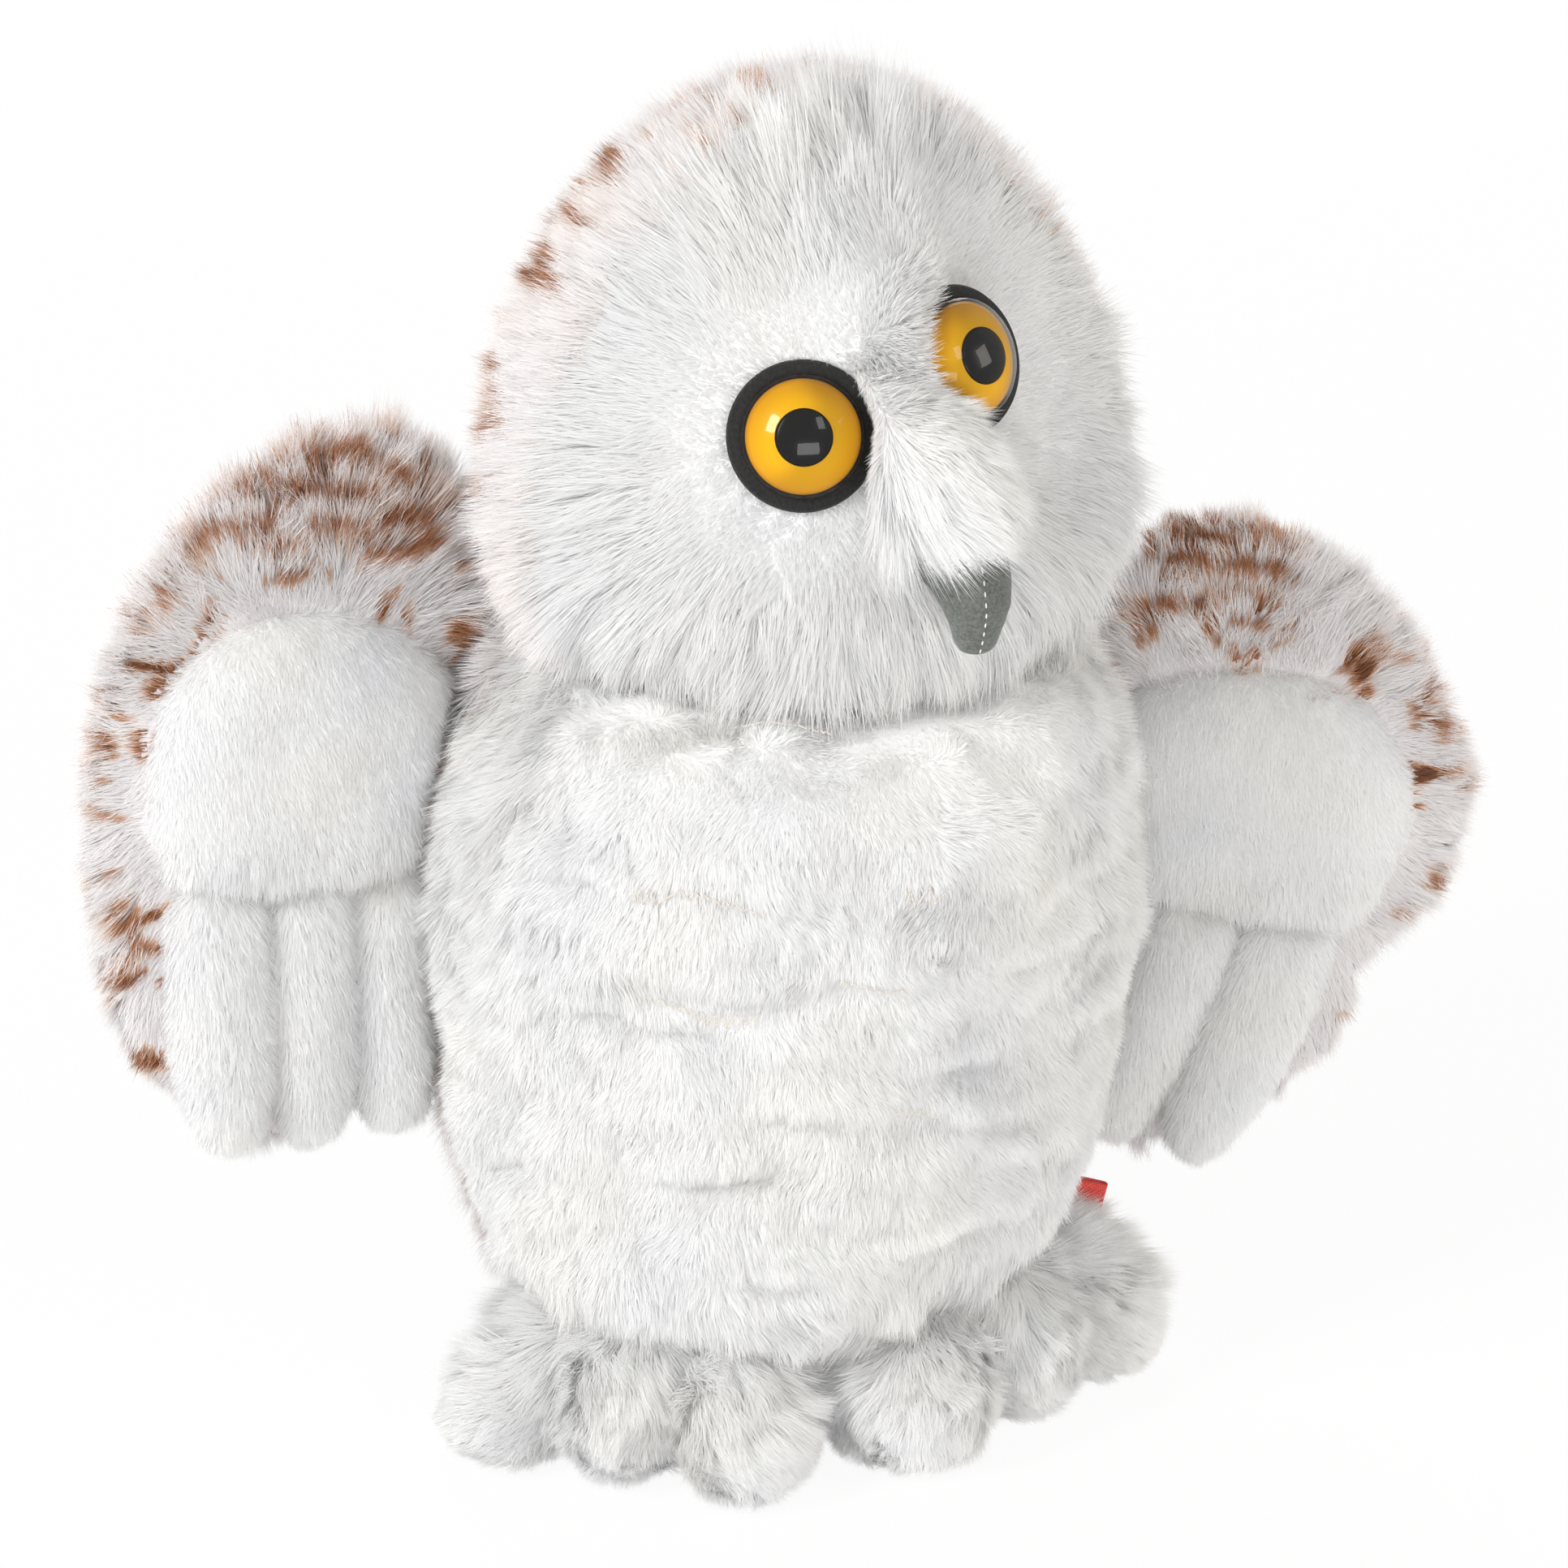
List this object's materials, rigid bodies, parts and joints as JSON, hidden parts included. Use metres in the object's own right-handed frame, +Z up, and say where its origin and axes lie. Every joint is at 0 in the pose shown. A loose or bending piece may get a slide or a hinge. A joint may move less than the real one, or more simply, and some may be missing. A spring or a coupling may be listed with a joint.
{
  "type": "plush owl",
  "caption": "Stuffed plush snowy owl toy standing on splayed feet, with spread wings, a turning head, plastic eyes and a felt beak.",
  "frame": {"origin": "floor point under the middle of the owl's box, between its soles", "axes": "+Z up, the owl faces -Y, its own left is +X"},
  "size_m": [0.2896, 0.1744, 0.288],
  "materials": {
    "white_plush": "white pile",
    "printed_plush": "pale pile printed with brown bars",
    "stuffing": "loose fibre",
    "pellet_cloth": "plain cloth",
    "grey_felt": "flecked felt",
    "black_felt": "felt",
    "amber_plastic": "gloss",
    "black_plastic": "gloss",
    "clear_plastic": "clear gloss",
    "washer_plastic": "plain",
    "red_ribbon": "woven ribbon",
    "care_cloth": "woven tape"
  },
  "bodies": {
    "body": {"body_front_cover": "white_plush", "body_base_panel": "white_plush", "left_foot_cover": "white_plush", "left_foot_sole": "white_plush", "right_foot_cover": "white_plush", "right_foot_sole": "white_plush", "body_back_cover": "printed_plush", "body_stuffing": "stuffing", "left_foot_stuffing": "stuffing", "right_foot_stuffing": "stuffing", "pellet_pouch": "pellet_cloth", "label_tab": "red_ribbon", "care_label": "care_cloth"},
    "head": {"head_face_cover": "white_plush", "head_back_cover": "printed_plush", "head_stuffing": "stuffing", "nose_bridge": "white_plush", "beak_left_felt": "grey_felt", "beak_right_felt": "grey_felt", "beak_stuffing": "stuffing", "left_eye_felt_ring": "black_felt", "left_eye_iris": "amber_plastic", "left_eye_pupil": "black_plastic", "left_eye_lens": "clear_plastic", "left_eye_lock_washer": "washer_plastic", "right_eye_felt_ring": "black_felt", "right_eye_iris": "amber_plastic", "right_eye_pupil": "black_plastic", "right_eye_lens": "clear_plastic", "right_eye_lock_washer": "washer_plastic"},
    "left_wing": {"left_wing_back": "printed_plush", "left_wing_covert": "white_plush", "left_wing_feather_1": "white_plush", "left_wing_feather_2": "white_plush", "left_wing_feather_3": "white_plush", "left_wing_stuffing": "stuffing"},
    "right_wing": {"right_wing_back": "printed_plush", "right_wing_covert": "white_plush", "right_wing_feather_1": "white_plush", "right_wing_feather_2": "white_plush", "right_wing_feather_3": "white_plush", "right_wing_stuffing": "stuffing"},
    "tail": {"tail_top_panel": "printed_plush", "tail_under_panel": "white_plush", "tail_stuffing": "stuffing"}
  },
  "joints": [
    {"name": "head_turn", "type": "hinge", "parent": "body", "child": "head", "pos_m": [0.0051, -0.00767, 0.176], "axis": [0, 0, 1], "range_deg": [-20, 20], "stiffness_Nm_per_rad": 0.3},
    {"name": "left_wing_swing", "type": "hinge", "parent": "body", "child": "left_wing", "pos_m": [0.06646, 0.01339, 0.134], "axis": [0.1122, 0.0272, -0.9933], "range_deg": [-30, 10], "stiffness_Nm_per_rad": 0.2},
    {"name": "right_wing_swing", "type": "hinge", "parent": "body", "child": "right_wing", "pos_m": [-0.06233, 0.01244, 0.15], "axis": [0.27, -0.0654, 0.9606], "range_deg": [-30, 10], "stiffness_Nm_per_rad": 0.2},
    {"name": "tail_lift", "type": "hinge", "parent": "body", "child": "tail", "pos_m": [0.0001, 0.04827, 0.05], "axis": [1, 0, 0], "range_deg": [-6, 30], "stiffness_Nm_per_rad": 0.12}
  ]
}
